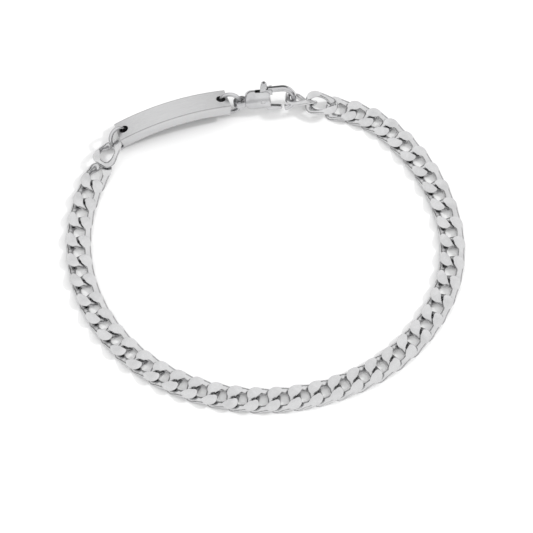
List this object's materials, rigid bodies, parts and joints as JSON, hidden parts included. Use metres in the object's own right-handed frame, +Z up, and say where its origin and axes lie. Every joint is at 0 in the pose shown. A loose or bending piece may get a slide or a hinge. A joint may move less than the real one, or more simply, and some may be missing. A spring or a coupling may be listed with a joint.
{
  "type": "chain bracelet",
  "caption": "Curb chain bracelet lying as a closed loop, with a narrow arched plate, jump rings and a lobster clasp hooked into the last link.",
  "frame": {"origin": "middle of the loop's box on the ground that it lies on", "axes": "+X to the right along the loop's longer way, +Y from the chain's near bend to the plate's side, +Z up"},
  "size_m": [0.0726, 0.0644, 0.0068],
  "materials": {
    "chain_metal": "polished, with ground flat faces",
    "plate_metal": "satin, finely brushed along its length",
    "ring_metal": "polished wire",
    "clasp_metal": "polished casting"
  },
  "bodies": {
    "bracelet": {"link_01": "chain_metal", "link_02": "chain_metal", "link_03": "chain_metal", "link_04": "chain_metal", "link_05": "chain_metal", "link_06": "chain_metal", "link_07": "chain_metal", "link_08": "chain_metal", "link_09": "chain_metal", "link_10": "chain_metal", "link_11": "chain_metal", "link_12": "chain_metal", "link_13": "chain_metal", "link_14": "chain_metal", "link_15": "chain_metal", "link_16": "chain_metal", "link_17": "chain_metal", "link_18": "chain_metal", "link_19": "chain_metal", "link_20": "chain_metal", "link_21": "chain_metal", "link_22": "chain_metal", "link_23": "chain_metal", "link_24": "chain_metal", "link_25": "chain_metal", "link_26": "chain_metal", "link_27": "chain_metal", "link_28": "chain_metal", "link_29": "chain_metal", "link_30": "chain_metal", "link_31": "chain_metal", "link_32": "chain_metal", "link_33": "chain_metal", "link_34": "chain_metal", "link_35": "chain_metal", "link_36": "chain_metal", "link_37": "chain_metal", "link_38": "chain_metal", "link_39": "chain_metal", "link_40": "chain_metal", "link_41": "chain_metal", "link_42": "chain_metal", "link_43": "chain_metal", "link_44": "chain_metal", "id_plate": "plate_metal", "ring_chain": "ring_metal", "ring_clasp": "ring_metal", "clasp_body": "clasp_metal", "clasp_pin": "clasp_metal"},
    "lever": {"clasp_lever": "clasp_metal"}
  },
  "joints": [
    {"name": "clasp_gate", "type": "hinge", "parent": "bracelet", "child": "lever", "pos_m": [-0.0004, 0.02995, 0.00343], "axis": [0.0108, -0.8975, 0.4409], "range_deg": [0, 20], "stiffness_Nm_per_rad": 0.002, "springref_deg": -11.46}
  ]
}
